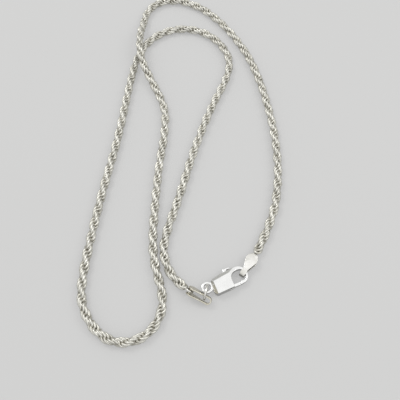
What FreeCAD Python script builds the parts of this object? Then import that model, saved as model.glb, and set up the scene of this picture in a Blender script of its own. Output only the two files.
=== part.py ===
import FreeCAD, Part
import math
import os

# A fine rope-chain necklace with a lobster-claw clasp, lying closed on a flat surface.
# Units are millimetres. +X runs along the clasp from its eye to its nose, +Z is up,
# and z = 0 is the surface that the necklace lies on.

Vec = FreeCAD.Vector
UP = Vec(0, 0, 1)
ORIGIN = Vec(0, 0, 0)

# ---------------------------------------------------------------- driving dimensions
CHAIN_D = 2.5                 # the rope chain, across its outside
LYING = CHAIN_D / 2           # height of the chain's centre where it lies flat
OVER = 3.85                   # height of its centre where it crosses itself
STRETCHES = 8                 # the chain is made as this many tubes, end to end
OVERCUT = 1                   # a cutting shape reaches this far past the face it cuts

CLASP_L = 10.6                # eye-hole centre to the nose of the hook
CLASP_T = 2.3                 # thickness of the clasp's belly
CLASP_HALF_W = 2.3            # the nose's radius, and the belly's far half width
BELLY_NEAR_W = 2.62           # the belly's near half width, beside the eye
BEVEL_W = 0.85                # broad bevel along the belly's far edge
BEVEL_DEPTH = 0.6
BEVEL_TURN = 8.0              # the far edge runs at this angle to the clasp's axis
BEVEL_AT = (0.5, 1.35)        # a point of the far edge, from the eye-hole's centre
EYE_HOLE_R = 0.9
EYE_OUTER_R = 1.42
EYE_T = 0.84
HOOK_T = 1.0                  # thickness of the hook and of the gate's slot
CLASP_AT = Vec(-5.5, -0.45, 0)   # the eye-hole's centre, on the surface below it
PIVOT = Vec(5.1, 0, 0)        # gate pin, from the eye-hole's centre
PIN_R = 0.33
PIN_L = 1.95                  # driven in from the back, so the front shows no pin
GATE_BORE_R = 0.36
GATE_BOSS_R = 0.75
GATE_T = 0.86
BOSS_ROOM = 0.12              # between the gate's boss and the slot round it

TAG_L = 6.5                   # folded end tag, over all
TAG_SHEET = 0.3
TAG_GAP = 1.3                 # between the two leaves
TAG_NECK = 1.3                # width of the neck
TAG_NECK_L = 2.0
TAG_END_R = 1.5               # radius of the wide end
LINK_R = 0.9                  # end link, ring radius
LINK_WIRE_R = 0.28
SOLDER_R = 0.34
SOLDER_AT = 5.75              # solder post, from the outer end of the fold
LINK_AT = 6.0                 # end link's centre, from the same end

RIGHT_TAG_AT = Vec(3.28, -0.88, CLASP_T / 2)   # outer end of its U fold
RIGHT_TAG_TURN = 35.0
LEFT_TAG_AT = Vec(-6.01, -4.2, 1.38)
LEFT_TAG_TURN = 129.5         # from the fold towards the wide end
LEFT_TAG_RISE = 4.9           # the wide end lies higher than the fold
LEFT_TAG_ROLL = 62.3          # it leans on one edge

JUMP_RING_R = 1.73
JUMP_WIRE_R = 0.27
JUMP_RING_AT = Vec(-6.27, -1.54, JUMP_RING_R + JUMP_WIRE_R)   # it stands upright
JUMP_RING_AXIS = Vec(0.814, -0.58, 0)

# Route of the chain, from the right end tag round to the left one: x, y, height.
ROUTE = [
    Vec(9.3, 3.35, LYING), Vec(17.0, 9.7, LYING), Vec(24.0, 20.5, LYING),
    Vec(29.0, 33.0, LYING), Vec(32.5, 47.0, LYING), Vec(34.5, 62.0, LYING),
    Vec(33.2, 75.2, LYING), Vec(29.8, 86.2, LYING), Vec(24.9, 92.6, LYING),
    # round the far end of the outer loop
    Vec(20.3, 95.3, LYING), Vec(15.6, 95.5, LYING), Vec(11.4, 93.2, LYING),
    Vec(8.6, 88.5, LYING),
    # over the other strand
    Vec(5.0, 81.4, OVER), Vec(2.4, 72.4, OVER),
    # back down the middle
    Vec(3.2, 63.8, LYING), Vec(3.7, 54.5, LYING), Vec(0.4, 45.8, LYING),
    Vec(-4.8, 36.4, LYING), Vec(-10.3, 24.4, LYING), Vec(-14.4, 14.6, LYING),
    Vec(-15.7, 7.8, LYING), Vec(-15.9, 2.6, LYING),
    # round the near loop
    Vec(-17.9, -2.5, LYING), Vec(-22.3, -5.7, LYING), Vec(-27.2, -6.0, LYING),
    Vec(-31.6, -3.7, LYING), Vec(-34.3, 1.1, LYING), Vec(-35.0, 7.0, LYING),
    # up the left side and under the crossing
    Vec(-33.3, 12.7, LYING), Vec(-28.6, 21.8, LYING), Vec(-21.3, 34.8, LYING),
    Vec(-12.5, 49.0, LYING), Vec(-5.2, 63.0, LYING), Vec(1.0, 74.2, LYING),
    # round the far end of the inner loop
    Vec(6.6, 80.3, LYING), Vec(13.6, 82.8, LYING), Vec(20.6, 81.6, LYING),
    Vec(26.0, 77.0, LYING), Vec(28.6, 70.2, LYING), Vec(28.3, 63.4, LYING),
    Vec(24.4, 57.5, LYING), Vec(18.2, 51.6, LYING), Vec(11.5, 44.2, LYING),
    Vec(4.2, 35.2, LYING), Vec(-3.2, 25.0, LYING), Vec(-9.0, 17.9, LYING),
    # round to the left end tag
    Vec(-12.1, 13.1, LYING), Vec(-12.8, 8.7, LYING), Vec(-12.2, 4.4, 1.4),
    Vec(-10.5, 1.4, 1.7),
]


# ---------------------------------------------------------------- the chain
class Corner:
    """The arc that rounds one point of the route, tangent to both of its runs."""

    def __init__(self, before, point, after):
        into = (point - before).normalize()
        out = (after - point).normalize()
        half_turn = into.getAngle(out) / 2
        reach = 0.45 * min((point - before).Length, (after - point).Length)
        self.radius = reach / math.tan(half_turn)
        self.start = point - into * reach
        self.end = point + out * reach
        inward = (out - into).normalize()
        self.middle = point + inward * (self.radius / math.cos(half_turn) - self.radius)
        self.length = self.radius * 2 * half_turn


def route_corners():
    """One corner for every inner point of the route."""
    return [Corner(*ROUTE[i - 1:i + 2]) for i in range(1, len(ROUTE) - 1)]


def stretch_path(corners, first, last):
    """Edges and length from the middle of run `first` to the middle of run `last`."""
    runs = len(ROUTE) - 1
    here = ROUTE[0] if first == 0 else (ROUTE[first] + ROUTE[first + 1]) * 0.5
    finish = ROUTE[runs] if last == runs else (ROUTE[last] + ROUTE[last + 1]) * 0.5
    edges = []
    length = 0.0
    for corner in corners[first:last]:
        edges.append(Part.LineSegment(here, corner.start).toShape())
        edges.append(Part.Arc(corner.start, corner.middle, corner.end).toShape())
        length += (corner.start - here).Length + corner.length
        here = corner.end
    edges.append(Part.LineSegment(here, finish).toShape())
    length += (finish - here).Length
    return edges, length


def even_cuts():
    """The runs whose middles share the route out most evenly, from the first to the last."""
    runs = [(b - a).Length for a, b in zip(ROUTE, ROUTE[1:])]
    middles = [sum(runs[:i]) + runs[i] / 2 for i in range(len(runs))]
    share = sum(runs) / STRETCHES
    cuts = [0]
    for number in range(1, STRETCHES):
        offsets = [abs(middle - number * share) for middle in middles]
        cuts.append(offsets.index(min(offsets)))
    return cuts + [len(runs)]


def chain_tube(edges):
    """A round tube of the chain's outside diameter along a path."""
    start = edges[0].Vertexes[0].Point
    along = edges[0].tangentAt(edges[0].FirstParameter)
    section = Part.Wire([Part.makeCircle(CHAIN_D / 2, start, along)])
    return Part.Wire(edges).makePipeShell([section], True, False)


def rope_chain():
    """The whole chain as tubes that meet face to face, in order from the right end."""
    corners = route_corners()
    print("radii", [round(corner.radius, 1) for corner in corners])
    cuts = even_cuts()
    tubes = []
    total = 0.0
    for first, last in zip(cuts, cuts[1:]):
        edges, length = stretch_path(corners, first, last)
        tube = chain_tube(edges)
        expected = math.pi * (CHAIN_D / 2) ** 2 * length
        print("stretch", first, last, "length", round(length, 2), "volume/expected",
              round(tube.Volume / expected, 5), "valid", tube.isValid())
        tubes.append(tube)
        total += length
    print("chain length", round(total, 1))
    return tubes


# ---------------------------------------------------------------- shared helpers
def polygon(points):
    """A flat face with straight sides at z = 0."""
    corners = [Vec(x, y, 0) for x, y in points]
    return Part.Face(Part.makePolygon(corners + corners[:1]))


def outline(*pieces):
    """A flat face at z = 0 from lines, given by 2 points, and arcs, given by 3."""
    edges = []
    for piece in pieces:
        ends = [Vec(x, y, 0) for x, y in piece]
        curve = Part.Arc(*ends) if len(ends) == 3 else Part.LineSegment(*ends)
        edges.append(curve.toShape())
    return Part.Face(Part.Wire(edges))


def slab(face, low, high):
    """The face made solid between two heights."""
    solid = face.extrude(UP * (high - low))
    solid.translate(UP * low)
    return solid


def rod(radius, low, high, centre=ORIGIN):
    """An upright cylinder between two heights."""
    return Part.makeCylinder(radius, high - low, centre + UP * low)


# ---------------------------------------------------------------- the clasp
MID = CLASP_T / 2             # the clasp is the same above and below this height
NOSE_X = CLASP_L - CLASP_HALF_W
MOUTH_NEAR_Y = -1.5           # inner edge of the hook's tip
SPRING_Y = 1.25               # the spring's axis lies along X at this distance
SPRING_X = 3.02               # the spring's fixed end
POCKET_X = 2.9                # the blind end of the spring's pocket
POCKET_L = 1.6
POCKET_R = 0.48


def belly_and_hook():
    """The clasp's outside: its plan, cut to the profile seen from the side."""
    w = CLASP_HALF_W
    near = BELLY_NEAR_W
    plan = outline(
        [(0.9, -0.8), (1.15, -0.8)],
        [(1.15, -0.8), (1.2, -1.7)],
        [(1.2, -1.7), (1.4, -2.35), (2.0, -near)],
        [(2.0, -near), (NOSE_X, -w)],
        [(NOSE_X, -w), (NOSE_X + w, 0), (NOSE_X, w)],
        [(NOSE_X, w), (5.2, 2.15), (2.3, 1.55)],
        [(2.3, 1.55), (1.6, 1.25), (1.15, 0.8)],
        [(1.15, 0.8), (0.9, 0.8)],
        [(0.9, 0.8), (0.9, -0.8)])
    eye = EYE_T / 2
    hook = HOOK_T / 2
    profile = polygon([
        (0, MID - eye), (1.25, MID - eye), (1.9, 0), (6.2, 0), (8.2, MID - hook),
        (11, MID - hook), (11, MID + hook), (8.2, MID + hook), (6.2, CLASP_T), (1.9, CLASP_T),
        (1.25, MID + eye), (0, MID + eye)])
    profile.rotate(ORIGIN, Vec(1, 0, 0), 90)
    half_depth = BELLY_NEAR_W + OVERCUT
    side = profile.extrude(Vec(0, 2 * half_depth, 0))
    side.translate(Vec(0, -half_depth, 0))
    return slab(plan, 0, CLASP_T).common(side).cut(far_bevel(1)).cut(far_bevel(-1))


def far_bevel(side):
    """A wedge that takes off the belly's far edge, above (side 1) or below (side -1)."""
    face = side * MID
    deep = side * (MID - BEVEL_DEPTH * (BEVEL_W + OVERCUT) / BEVEL_W)
    wedge = polygon([
        (-BEVEL_W, face), (-BEVEL_W, 2 * face), (OVERCUT, 2 * face), (OVERCUT, deep)])
    wedge.rotate(ORIGIN, Vec(1, 0, 0), 90)
    wedge.rotate(ORIGIN, UP, 90)
    prism = wedge.extrude(Vec(CLASP_L, 0, 0))
    prism.rotate(ORIGIN, UP, BEVEL_TURN)
    prism.translate(Vec(*BEVEL_AT, MID))
    return prism


def mouth():
    """The D-shaped opening of the hook, with the gate's place beside it."""
    opening = outline(
        [(6.25, MOUTH_NEAR_Y), (6.25, -0.45)],
        [(6.25, -0.45), (6.6, 0.5), (7.4, 1.15)],
        [(7.4, 1.15), (8.4, 1.4), (9.4, 1.2)],
        [(9.4, 1.2), (9.98, 0), (9.35, MOUTH_NEAR_Y)],
        [(9.35, MOUTH_NEAR_Y), (6.25, MOUTH_NEAR_Y)])
    gate_place = polygon([(6.25, -1.2), (6.25, -2.6), (7.8, -2.6), (7.95, -2.3), (8.46, -1.2)])
    return slab(opening.fuse(gate_place), -OVERCUT, CLASP_T + OVERCUT)


def gate_slot():
    """The slot through the belly that the gate turns in."""
    plan = polygon([
        (4.2, -0.2), (3.95, 2.7), (6.1, 2.7), (5.85, 0.55), (6.3, 0.2), (6.6, -0.4), (6.6, -2.8),
        (5.35, -2.8), (4.6, -0.75)])
    low = MID - HOOK_T / 2
    high = MID + HOOK_T / 2
    return slab(plan, low, high).fuse(rod(GATE_BOSS_R + BOSS_ROOM, low, high, PIVOT))


def spring_pocket():
    """The blind hole that holds the gate's spring."""
    return Part.makeCylinder(POCKET_R, POCKET_L, Vec(POCKET_X, SPRING_Y, MID), Vec(1, 0, 0))


def clasp_body():
    """Eye, belly and hook, cast in one piece."""
    low = MID - EYE_T / 2
    high = MID + EYE_T / 2
    body = belly_and_hook().fuse(rod(EYE_OUTER_R, low, high))
    body = body.cut(rod(EYE_HOLE_R, -OVERCUT, CLASP_T + OVERCUT))
    body = body.cut(mouth())
    body = body.cut(gate_slot())
    body = body.cut(spring_pocket())
    body = body.cut(rod(PIN_R, -OVERCUT, PIN_L, PIVOT))
    return body.removeSplitter().Solids[0]


def clasp_gate():
    """The lever that closes the hook: gate arm, boss and thumb nub."""
    gate_arm = polygon([
        (4.9, -0.7), (5.6, -2.38), (7.75, -2.38), (8.12, -1.65), (6.35, -1.65), (5.75, -0.3),
        (5.1, 0)])
    nub_arm = polygon([
        (4.55, 0.5), (5.2, 2.8), (6.9, 2.8), (6.9, 2.45), (5.95, 2.45), (5.6, 0.4), (5.1, 0)])
    low = MID - GATE_T / 2
    high = MID + GATE_T / 2
    lever = slab(gate_arm.fuse(nub_arm), low, high).fuse(rod(GATE_BOSS_R, low, high, PIVOT))
    bore = rod(GATE_BORE_R, -OVERCUT, CLASP_T + OVERCUT, PIVOT)
    return lever.cut(bore).removeSplitter().Solids[0]


def gate_pin():
    """The pin that the gate turns on, flush with the back face."""
    return rod(PIN_R, 0, PIN_L, PIVOT)


def gate_spring():
    """A small compression spring along X, between the body and the nub arm."""
    wire_r = 0.1
    coil_r = 0.3
    pitch = 0.35
    height = 1.4
    helix = Part.makeHelix(pitch, height, coil_r)
    section = Part.Wire([Part.makeCircle(wire_r, Vec(coil_r, 0, 0), Vec(0, 1, 0))])
    spring = Part.Wire(helix.Edges).makePipeShell([section], True, True)
    spring.rotate(ORIGIN, Vec(0, 1, 0), 90)
    spring.translate(Vec(SPRING_X, SPRING_Y, MID))
    return spring


# ---------------------------------------------------------------- end tags and rings
def folded_tag():
    """A teardrop strip folded in two: its fold at the origin, its leaves along +X."""
    inner = TAG_GAP / 2
    outer = inner + TAG_SHEET
    strip = outline(
        [(TAG_L, -outer), (outer, -outer)],
        [(outer, -outer), (0, 0), (outer, outer)],
        [(outer, outer), (TAG_L, outer)],
        [(TAG_L, outer), (TAG_L, inner)],
        [(TAG_L, inner), (outer, inner)],
        [(outer, inner), (TAG_SHEET, 0), (outer, -inner)],
        [(outer, -inner), (TAG_L, -inner)],
        [(TAG_L, -inner), (TAG_L, -outer)])
    folded = slab(strip, -TAG_END_R - OVERCUT, TAG_END_R + OVERCUT)
    folded.rotate(ORIGIN, Vec(1, 0, 0), 90)
    return folded.common(slab(tag_plan(), -outer - OVERCUT, outer + OVERCUT)).Solids[0]


def tag_plan():
    """A straight neck that widens, tangent to the round end."""
    half = TAG_NECK / 2
    centre_x = TAG_L - TAG_END_R
    to_neck = math.hypot(centre_x - TAG_NECK_L, half)
    angle = math.pi - math.atan2(half, centre_x - TAG_NECK_L) - math.acos(TAG_END_R / to_neck)
    touch_x = centre_x + TAG_END_R * math.cos(angle)
    touch_y = TAG_END_R * math.sin(angle)
    return outline(
        [(-1, half), (TAG_NECK_L, half)],
        [(TAG_NECK_L, half), (touch_x, touch_y)],
        [(touch_x, touch_y), (TAG_L, 0), (touch_x, -touch_y)],
        [(touch_x, -touch_y), (TAG_NECK_L, -half)],
        [(TAG_NECK_L, -half), (-1, -half)],
        [(-1, -half), (-1, half)])


def solder_post():
    """The solder that joins the two leaves inside the end link."""
    return rod(SOLDER_R, -TAG_GAP / 2, TAG_GAP / 2, Vec(SOLDER_AT, 0, 0))


def end_link():
    """The chain's last link, held by the solder and standing out of the tag."""
    return Part.makeTorus(LINK_R, LINK_WIRE_R, Vec(LINK_AT, 0, 0), UP)


def set_tag_piece(shape, roll, rise, turn, place):
    """Put a piece of an end tag where the tag lies."""
    shape.rotate(ORIGIN, Vec(1, 0, 0), roll)
    shape.rotate(ORIGIN, Vec(0, 1, 0), -rise)
    shape.rotate(ORIGIN, UP, turn)
    shape.translate(place)
    return shape


def jump_ring():
    """The closed ring through the clasp's eye and the left end tag."""
    return Part.makeTorus(JUMP_RING_R, JUMP_WIRE_R, JUMP_RING_AT, JUMP_RING_AXIS)


# ---------------------------------------------------------------- the assembly
def on_clasp(shape):
    """Put a piece of the clasp where the clasp lies."""
    shape.translate(CLASP_AT)
    return shape


def necklace():
    """Every sub-part, by name, where it lies."""
    right = (0, 0, RIGHT_TAG_TURN, RIGHT_TAG_AT)
    left = (LEFT_TAG_ROLL, LEFT_TAG_RISE, LEFT_TAG_TURN, LEFT_TAG_AT)
    parts = {
        "right_end_tag": set_tag_piece(folded_tag(), *right),
        "right_end_link": set_tag_piece(end_link(), *right),
        "right_solder": set_tag_piece(solder_post(), *right),
        "left_end_tag": set_tag_piece(folded_tag(), *left),
        "left_end_link": set_tag_piece(end_link(), *left),
        "left_solder": set_tag_piece(solder_post(), *left),
        "jump_ring": jump_ring(),
        "clasp_body": on_clasp(clasp_body()),
        "clasp_gate": on_clasp(clasp_gate()),
        "gate_pin": on_clasp(gate_pin()),
        "gate_spring": on_clasp(gate_spring()),
    }
    for number, tube in enumerate(rope_chain(), start=1):
        parts["rope_chain_%d" % number] = tube
    return parts


os.makedirs("parts", exist_ok=True)
for name, shape in necklace().items():
    box = shape.BoundBox
    print(name, shape.ShapeType, len(shape.Solids), "valid", shape.isValid(),
          "volume", round(shape.Volume, 3), "low", round(box.ZMin, 3), "high", round(box.ZMax, 3))
    shape.exportStep(os.path.join("parts", name + ".step"))
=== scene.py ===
import math

import bpy
import numpy as np
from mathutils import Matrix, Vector


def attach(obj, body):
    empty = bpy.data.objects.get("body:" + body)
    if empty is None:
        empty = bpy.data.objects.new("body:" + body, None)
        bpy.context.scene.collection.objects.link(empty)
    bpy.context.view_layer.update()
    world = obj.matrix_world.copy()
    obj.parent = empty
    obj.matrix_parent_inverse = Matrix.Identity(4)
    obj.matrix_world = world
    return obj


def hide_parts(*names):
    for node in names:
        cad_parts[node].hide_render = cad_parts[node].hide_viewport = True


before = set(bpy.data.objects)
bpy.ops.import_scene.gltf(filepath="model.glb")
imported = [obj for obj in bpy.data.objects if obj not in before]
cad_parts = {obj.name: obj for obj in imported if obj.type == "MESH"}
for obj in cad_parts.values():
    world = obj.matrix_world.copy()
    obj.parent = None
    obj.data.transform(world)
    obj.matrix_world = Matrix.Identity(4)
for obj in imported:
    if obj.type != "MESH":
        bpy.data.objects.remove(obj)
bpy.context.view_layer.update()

MM = 0.001
UP = Vector((0, 0, 1))

# ---------------------------------------------------------------- driving sizes, millimetres
CHAIN_D = 2.5
LYING = CHAIN_D / 2
OVER = 3.85
LINK_WIRE_R = 0.30            # half the thickness of a link's wire
LINK_OFFSET = 0.1             # a link's centre, from the chain's middle
LINK_R = CHAIN_D / 2 - LINK_OFFSET - LINK_WIRE_R
LINK_STRETCH = 1.3            # a link's length along the chain over its width
LINK_PITCH = 0.38             # from one link to the next along the chain
LINK_INSET = 0.75             # the links start this far inside the ends of the route
LINK_TURN = math.radians(17)  # each link turns this much more than half a turn
LINK_PLAY = math.radians(6)   # links sit unevenly, by about this much
LINK_LEAN = math.radians(15)  # a link leans this far against the lay of the rope

# The chain's route, from the right end tag round to the left one: x, y, height.
ROUTE = [
    (9.3, 3.35, LYING), (17.0, 9.7, LYING), (24.0, 20.5, LYING),
    (29.0, 33.0, LYING), (32.5, 47.0, LYING), (34.5, 62.0, LYING),
    (33.2, 75.2, LYING), (29.8, 86.2, LYING), (24.9, 92.6, LYING),
    # round the far end of the outer loop
    (20.3, 95.3, LYING), (15.6, 95.5, LYING), (11.4, 93.2, LYING),
    (8.6, 88.5, LYING),
    # over the other strand
    (5.0, 81.4, OVER), (2.4, 72.4, OVER),
    # back down the middle
    (3.2, 63.8, LYING), (3.7, 54.5, LYING), (0.4, 45.8, LYING),
    (-4.8, 36.4, LYING), (-10.3, 24.4, LYING), (-14.4, 14.6, LYING),
    (-15.7, 7.8, LYING), (-15.9, 2.6, LYING),
    # round the near loop
    (-17.9, -2.5, LYING), (-22.3, -5.7, LYING), (-27.2, -6.0, LYING),
    (-31.6, -3.7, LYING), (-34.3, 1.1, LYING), (-35.0, 7.0, LYING),
    # up the left side and under the crossing
    (-33.3, 12.7, LYING), (-28.6, 21.8, LYING), (-21.3, 34.8, LYING),
    (-12.5, 49.0, LYING), (-5.2, 63.0, LYING), (1.0, 74.2, LYING),
    # round the far end of the inner loop
    (6.6, 80.3, LYING), (13.6, 82.8, LYING), (20.6, 81.6, LYING),
    (26.0, 77.0, LYING), (28.6, 70.2, LYING), (28.3, 63.4, LYING),
    (24.4, 57.5, LYING), (18.2, 51.6, LYING), (11.5, 44.2, LYING),
    (4.2, 35.2, LYING), (-3.2, 25.0, LYING), (-9.0, 17.9, LYING),
    # round to the left end tag
    (-12.1, 13.1, LYING), (-12.8, 8.7, LYING), (-12.2, 4.4, 1.4),
    (-10.5, 1.4, 1.7),
]
STRETCHES = 8                 # pieces of chain, one for each of the CAD model's tubes

LINK_SIDES = 26               # faces round a link, and round its wire
WIRE_SIDES = 7
ROUTE_STEPS = 24              # points of the smooth route for each of its spans
PATH_POINTS = 160             # points that tell the route of one stretch
LOOK_AHEAD = 0.3              # the chain's direction is taken over this much each way
FLOOR_HALF = 1200             # half the floor's width
POLISHED_EDGE = 0.05          # face size that the edges are rounded at


# ---------------------------------------------------------------- camera, light and floor
def add_camera():
    data = bpy.data.cameras.new("camera")
    data.lens = 45
    data.sensor_width = 36
    data.clip_start = 0.001
    data.clip_end = 10
    camera = bpy.data.objects.new("camera", data)
    bpy.context.scene.collection.objects.link(camera)
    place = Vector((-20.6, -33.5, 119.0)) * MM
    target = Vector((1.75, 22.42, 1.25)) * MM
    camera.location = place
    camera.rotation_mode = "QUATERNION"
    camera.rotation_quaternion = (target - place).to_track_quat("-Z", "Y")
    bpy.context.scene.camera = camera


def add_area_light(name, place, target, size, power, colour):
    data = bpy.data.lights.new(name, "AREA")
    data.shape = "DISK"
    data.size = size * MM
    data.energy = power
    data.color = colour
    light = bpy.data.objects.new(name, data)
    bpy.context.scene.collection.objects.link(light)
    light.location = Vector(place) * MM
    light.rotation_mode = "QUATERNION"
    direction = Vector(target) - Vector(place)
    light.rotation_quaternion = direction.to_track_quat("-Z", "Y")


def add_world():
    """Soft studio light: bright overhead, darker towards the horizon."""
    world = bpy.data.worlds.new("studio")
    world.use_nodes = True
    nodes, links = world.node_tree.nodes, world.node_tree.links
    place = nodes.new("ShaderNodeTexCoord")
    height = nodes.new("ShaderNodeSeparateXYZ")
    links.new(place.outputs["Generated"], height.inputs["Vector"])
    sky = ramp(nodes, links, height.outputs["Z"], 0.05, 0.75, (0.52, 0.52, 0.50), (1.0, 1.0, 1.0))
    links.new(sky.outputs["Color"], nodes["Background"].inputs["Color"])
    nodes["Background"].inputs["Strength"].default_value = 1.0
    bpy.context.scene.world = world


def add_lights():
    middle = (0, 40, 0)
    add_area_light("key", (-140, 300, 420), middle, 200, 0.6, (1, 0.995, 0.98))
    add_area_light("fill", (220, -60, 260), middle, 220, 0.2, (1, 1, 1))


def add_floor():
    mesh = bpy.data.meshes.new("floor")
    half = FLOOR_HALF * MM
    corners = [(-half, -half, 0), (half, -half, 0), (half, half, 0), (-half, half, 0)]
    mesh.from_pydata(corners, [], [(0, 1, 2, 3)])
    floor = bpy.data.objects.new("floor", mesh)
    bpy.context.scene.collection.objects.link(floor)
    material, nodes, links, shader = new_material("pale_floor")
    shader.inputs["Base Color"].default_value = (0.26, 0.26, 0.257, 1)
    shader.inputs["Emission Color"].default_value = (1, 1, 1, 1)
    shader.inputs["Emission Strength"].default_value = 0.34
    shader.inputs["Roughness"].default_value = 0.8
    shader.inputs["Specular IOR Level"].default_value = 0.1
    mesh.materials.append(material)


# ---------------------------------------------------------------- materials
def new_material(name):
    material = bpy.data.materials.new(name)
    material.use_nodes = True
    tree = material.node_tree
    return material, tree.nodes, tree.links, tree.nodes["Principled BSDF"]


def object_noise(nodes, links, scale, detail=4.0):
    """Noise that is fixed to the piece, with a scale in features per millimetre."""
    place = nodes.new("ShaderNodeTexCoord")
    noise = nodes.new("ShaderNodeTexNoise")
    noise.inputs["Scale"].default_value = scale / MM
    noise.inputs["Detail"].default_value = detail
    links.new(place.outputs["Object"], noise.inputs["Vector"])
    return noise


def ramp(nodes, links, source, low, high, low_value, high_value):
    """A colour ramp between two values, as greys or colours."""
    node = nodes.new("ShaderNodeValToRGB")
    node.color_ramp.elements[0].position = low
    node.color_ramp.elements[1].position = high
    for element, value in zip(node.color_ramp.elements, (low_value, high_value)):
        element.color = (value, value, value, 1) if isinstance(value, float) else (*value, 1)
    links.new(source, node.inputs["Fac"])
    return node


def bump(nodes, links, shader, source, depth_mm, strength=1.0):
    node = nodes.new("ShaderNodeBump")
    node.inputs["Distance"].default_value = depth_mm * MM
    node.inputs["Strength"].default_value = strength
    links.new(source, node.inputs["Height"])
    links.new(node.outputs["Normal"], shader.inputs["Normal"])


def silver(name, dark, light, smooth, rough, grain=1.2, depth=0.004):
    """Polished silver with faint tarnish, handling wear and fine surface grain."""
    material, nodes, links, shader = new_material(name)
    shader.inputs["Metallic"].default_value = 1.0
    tarnish = object_noise(nodes, links, 0.35)
    tint = ramp(nodes, links, tarnish.outputs["Fac"], 0.35, 0.65, dark, light)
    links.new(tint.outputs["Color"], shader.inputs["Base Color"])
    wear = object_noise(nodes, links, grain)
    polish = ramp(nodes, links, wear.outputs["Fac"], 0.3, 0.7, smooth, rough)
    links.new(polish.outputs["Color"], shader.inputs["Roughness"])
    fine = object_noise(nodes, links, grain * 5, 2.0)
    bump(nodes, links, shader, fine.outputs["Fac"], depth)
    return material


def darken(material, shade_colour, source, low, high):
    """Paint shade into the base colour: blend from the shade colour, where the source is low, to
    the material's own colour.
    """
    nodes, links = material.node_tree.nodes, material.node_tree.links
    colour = nodes["Principled BSDF"].inputs["Base Color"]
    own_colour = colour.links[0].from_socket
    # polish here is the painted-shade mask: 0 where the shade colour is painted, 1 where the
    # material keeps its own colour
    polish = ramp(nodes, links, source, low, high, 0.0, 1.0)
    mix = nodes.new("ShaderNodeMix")
    mix.data_type = "RGBA"
    mix.inputs["A"].default_value = (*shade_colour, 1)
    links.new(polish.outputs["Color"], mix.inputs["Factor"])
    links.new(own_colour, mix.inputs["B"])
    links.new(mix.outputs["Result"], colour)


def shade_and_tarnish_crevices(material, shade_colour):
    """Darken the parts of the links that lie deep in the chain: painted shade in the grooves,
    together with tarnish where polish doesn't reach.
    """
    depth = material.node_tree.nodes.new("ShaderNodeAttribute")
    depth.attribute_name = "exposure"
    darken(material, shade_colour, depth.outputs["Fac"], 0.1, 0.45)


def painted_shade_sides(material, shade_colour):
    """Paint shade on the sides and bevels: the base colour darkens as the surface turns away from
    facing up, so the flat top stays brightest.
    """
    nodes, links = material.node_tree.nodes, material.node_tree.links
    place = nodes.new("ShaderNodeTexCoord")
    facing = nodes.new("ShaderNodeSeparateXYZ")
    links.new(place.outputs["Normal"], facing.inputs["Vector"])
    darken(material, shade_colour, facing.outputs["Z"], 0.1, 0.95)


# ---------------------------------------------------------------- the chain
def route_points():
    """Closely spaced points of the smooth line that has the route as its control points."""
    curve = bpy.data.curves.new("route", "CURVE")
    curve.dimensions = "3D"
    curve.resolution_u = ROUTE_STEPS
    spline = curve.splines.new("NURBS")
    spline.points.add(len(ROUTE) - 1)
    for point, (x, y, z) in zip(spline.points, ROUTE):
        point.co = (x * MM, y * MM, z * MM, 1)
    spline.order_u = 3
    spline.use_endpoint_u = True
    holder = bpy.data.objects.new("route", curve)
    bpy.context.scene.collection.objects.link(holder)
    mesh = bpy.data.meshes.new_from_object(holder)
    points = np.array([vertex.co[:] for vertex in mesh.vertices])
    bpy.data.objects.remove(holder)
    bpy.data.meshes.remove(mesh)
    return points


def distances_walked(points):
    """How far along the line each of its points lies."""
    steps = np.linalg.norm(np.diff(points, axis=0), axis=1)
    return np.concatenate([[0], np.cumsum(steps)])


def along(points, distances):
    """Points at the given distances along the line, and their directions."""
    walked = distances_walked(points)

    def at(where):
        return np.stack([np.interp(where, walked, points[:, k]) for k in range(3)], axis=1)

    step = LOOK_AHEAD * MM
    direction = at(distances + step) - at(distances - step)
    direction /= np.linalg.norm(direction, axis=1)[:, None]
    return at(distances), direction


def unit_link():
    """One closed wire link as rings of points: angle round the link, angle round the wire."""
    turn = np.linspace(0, 2 * np.pi, LINK_SIDES, endpoint=False)
    wire = np.linspace(0, 2 * np.pi, WIRE_SIDES, endpoint=False)
    turn, wire = np.meshgrid(turn, wire, indexing="ij")
    radius = LINK_R + LINK_WIRE_R * np.cos(wire)
    points = np.stack([radius * np.cos(turn), radius * np.sin(turn) * LINK_STRETCH,
                       LINK_WIRE_R * np.sin(wire)], -1)
    faces = []
    for i in range(LINK_SIDES):
        here = i * WIRE_SIDES
        there = (i + 1) % LINK_SIDES * WIRE_SIDES
        for j in range(WIRE_SIDES):
            after = (j + 1) % WIRE_SIDES
            faces.append((here + j, there + j, there + after, here + after))
    return points.reshape(-1, 3) * MM, np.array(faces)


def link_frames(count, place, direction):
    """Centre and the three axes of every link of the rope twist."""
    side = np.cross(direction, np.array(UP))
    side /= np.linalg.norm(side, axis=1)[:, None]
    top = np.cross(side, direction)
    play = np.random.default_rng(7).normal(0, LINK_PLAY, (2, count))
    phase = np.arange(count) * (math.pi + LINK_TURN) + play[0]
    lean = (LINK_LEAN + play[1])[:, None]
    cos, sin = np.cos(phase)[:, None], np.sin(phase)[:, None]
    outward = side * cos + top * sin
    round_way = top * cos - side * sin
    lengthwise = direction * np.cos(lean) - round_way * np.sin(lean)
    normal = np.cross(outward, lengthwise)
    centre = place + outward * LINK_OFFSET * MM
    return centre, outward, lengthwise, normal, round_way


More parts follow.
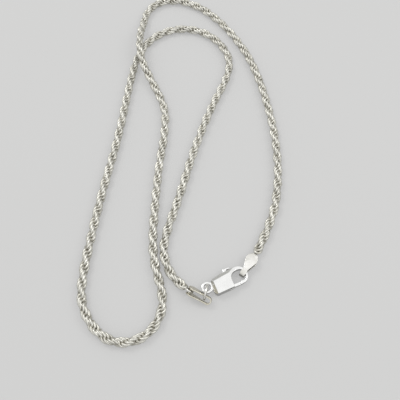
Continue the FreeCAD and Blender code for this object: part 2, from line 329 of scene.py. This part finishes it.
def chain_mesh(name, place, direction, centre, outward, lengthwise, normal, round_way):
    """The links of one stretch, as one mesh of separate closed links."""
    link, faces = unit_link()
    axes = (outward, lengthwise, normal)
    shapes = centre[:, None] + sum(link[None, :, k, None] * axes[k][:, None] for k in range(3))
    count = len(centre)
    all_faces = (faces[None] + np.arange(count)[:, None, None] * len(link)).reshape(-1, 4)
    mesh = bpy.data.meshes.new(name)
    mesh.from_pydata(shapes.reshape(-1, 3).tolist(), [], all_faces.tolist())
    mesh.polygons.foreach_set("use_smooth", [True] * len(mesh.polygons))
    mark_exposure(mesh, shapes - place[:, None], direction, outward, round_way)
    piece = bpy.data.objects.new(name, mesh)
    bpy.context.scene.collection.objects.link(piece)
    return piece


def mark_exposure(mesh, offsets, direction, outward, round_way):
    """Store each point's distance from the grooves between the rope's two strands: 1 on a crest."""
    ahead, out, sideways = (np.sum(offsets * axis[:, None], axis=2)
                            for axis in (direction, outward, round_way))
    twist = ahead * LINK_TURN / (LINK_PITCH * MM)
    crest = np.abs(out * np.cos(twist) + sideways * np.sin(twist))
    # This attribute is the mask for the painted shade, and tarnish, in the grooves between the
    # strands.
    exposure = mesh.attributes.new("exposure", "FLOAT", "POINT")
    exposure.data.foreach_set("value", (crest / (CHAIN_D / 2 * MM)).reshape(-1))


def rope_chain(material):
    """The chain in stretches that each stand for one of the CAD model's tubes."""
    points = route_points()
    inset = LINK_INSET * MM
    run = distances_walked(points)[-1] - 2 * inset
    count = int(run / (LINK_PITCH * MM))
    pitch = run / count
    place, direction = along(points, inset + (np.arange(count) + 0.5) * pitch)
    frames = (place, direction) + link_frames(count, place, direction)
    cuts = [round(i * count / STRETCHES) for i in range(STRETCHES + 1)]
    for number, (first, last) in enumerate(zip(cuts, cuts[1:]), start=1):
        name = "chain_links_%d" % number
        piece = chain_mesh(name, *(part[first:last] for part in frames))
        piece.data.materials.append(material)
        start, end = inset + first * pitch, inset + last * pitch
        path = along(points, np.linspace(start, end, PATH_POINTS))[0]
        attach(piece, "chain")
        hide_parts("rope_chain_%d" % number)


# ---------------------------------------------------------------- the cast and pressed pieces
def soften_edges(piece, passes):
    """Round the sharp edges of a piece as polishing does."""
    remesh = piece.modifiers.new("even faces", "REMESH")
    remesh.mode = "VOXEL"
    remesh.voxel_size = POLISHED_EDGE * MM
    remesh.use_smooth_shade = True
    smooth = piece.modifiers.new("polish", "SMOOTH")
    smooth.factor = 0.5
    smooth.iterations = passes


# ---------------------------------------------------------------- the scene
bpy.context.scene.view_settings.view_transform = "Standard"
add_camera()
add_world()
add_lights()
add_floor()

chain_silver = silver("chain_silver", (0.58, 0.57, 0.52), (0.70, 0.69, 0.64), 0.32, 0.48)
tag_silver = silver("tag_silver", (0.64, 0.63, 0.58), (0.86, 0.85, 0.82), 0.22, 0.38)
# The left tag's silver is a darker, yellower copy of the tag silver: painted shade for the left
# tag's dim, tilted face, with some tarnish.
shaded_worn_silver = silver("shaded_worn_silver", (0.66, 0.63, 0.52), (0.84, 0.82, 0.74), 0.25, 0.40)
clasp_silver = silver("clasp_silver", (0.86, 0.86, 0.85), (0.94, 0.94, 0.93), 0.10, 0.18,
                      grain=0.5, depth=0.001)
# The ring silver is set darker than the clasp silver: painted shade for the eye and jump ring,
# which lie in shade; the end links share it.
ring_silver = silver("ring_silver", (0.68, 0.67, 0.63), (0.84, 0.83, 0.80), 0.15, 0.28)
spring_steel = silver("spring_steel", (0.50, 0.50, 0.50), (0.70, 0.70, 0.70), 0.25, 0.40)

# Painted shade in the chain's grooves, also standing for tarnish there: links darken where they lie
# deep between the strands.
shade_and_tarnish_crevices(chain_silver, (0.48, 0.465, 0.41))
# Painted shade on the sides and bevels of the tags and the clasp: their colour darkens as they turn
# away from facing up.
painted_shade_sides(tag_silver, (0.36, 0.355, 0.33))
painted_shade_sides(shaded_worn_silver, (0.40, 0.37, 0.28))
painted_shade_sides(clasp_silver, (0.36, 0.355, 0.345))
rope_chain(chain_silver)
CAD_LOOKS = {
    "right_end_tag": tag_silver, "right_end_link": ring_silver, "right_solder": tag_silver,
    "left_end_tag": shaded_worn_silver, "left_end_link": ring_silver, "left_solder": shaded_worn_silver,
    "jump_ring": ring_silver, "clasp_body": clasp_silver, "clasp_gate": clasp_silver,
    "gate_pin": clasp_silver, "gate_spring": spring_steel,
}
for node, material in CAD_LOOKS.items():
    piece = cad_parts[node]
    for slot in piece.material_slots:
        slot.material = material
POLISH_PASSES = {"clasp_body": 16, "clasp_gate": 8, "right_end_tag": 3, "left_end_tag": 3}
for node, passes in POLISH_PASSES.items():
    soften_edges(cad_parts[node], passes)
